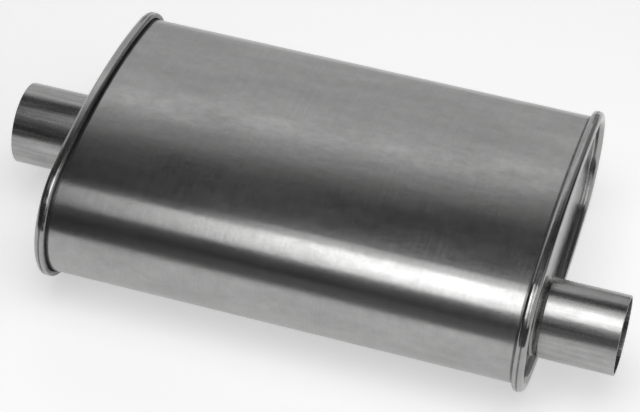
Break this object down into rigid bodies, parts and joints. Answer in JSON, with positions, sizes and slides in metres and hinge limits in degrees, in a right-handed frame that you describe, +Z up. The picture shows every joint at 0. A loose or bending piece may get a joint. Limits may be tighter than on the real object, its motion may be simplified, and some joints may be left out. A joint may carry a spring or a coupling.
{
  "type": "exhaust muffler",
  "caption": "Oval sheet-steel exhaust muffler with rolled end rims, a centred inlet neck and an offset outlet neck, and three slotted gas tubes inside.",
  "frame": {"origin": "centre of the bounding box, which is the middle of the body on the inlet neck's line", "axes": "+X from the inlet end to the outlet end, +Y to the back, +Z up with the body on its wide side"},
  "size_m": [0.47, 0.2572, 0.1176],
  "materials": {
    "outer_sheet": "aluminised sheet, fine grain round the body",
    "end_plate": "aluminised sheet, burnished where it was rolled",
    "neck": "aluminised tube",
    "weld_bead": "weld bead, as deposited",
    "inner_sheet": "aluminised sheet, dull",
    "gas_tube": "aluminised tube, dull",
    "glass_fibre": "matted glass fibre"
  },
  "bodies": {
    "root": {"outer_wrap": "outer_sheet", "inner_wrap": "inner_sheet", "inlet_head": "end_plate", "outlet_head": "end_plate", "inlet_neck": "neck", "outlet_neck": "neck", "inlet_weld": "weld_bead", "outlet_weld": "weld_bead", "inlet_tube": "gas_tube", "return_tube": "gas_tube", "outlet_tube": "gas_tube", "first_partition": "inner_sheet", "second_partition": "inner_sheet", "third_partition": "inner_sheet", "end_partition": "inner_sheet", "throat_tube": "gas_tube", "inlet_sleeve": "gas_tube", "outlet_sleeve": "gas_tube", "inlet_packing": "glass_fibre", "outlet_packing": "glass_fibre"}
  },
  "joints": []
}
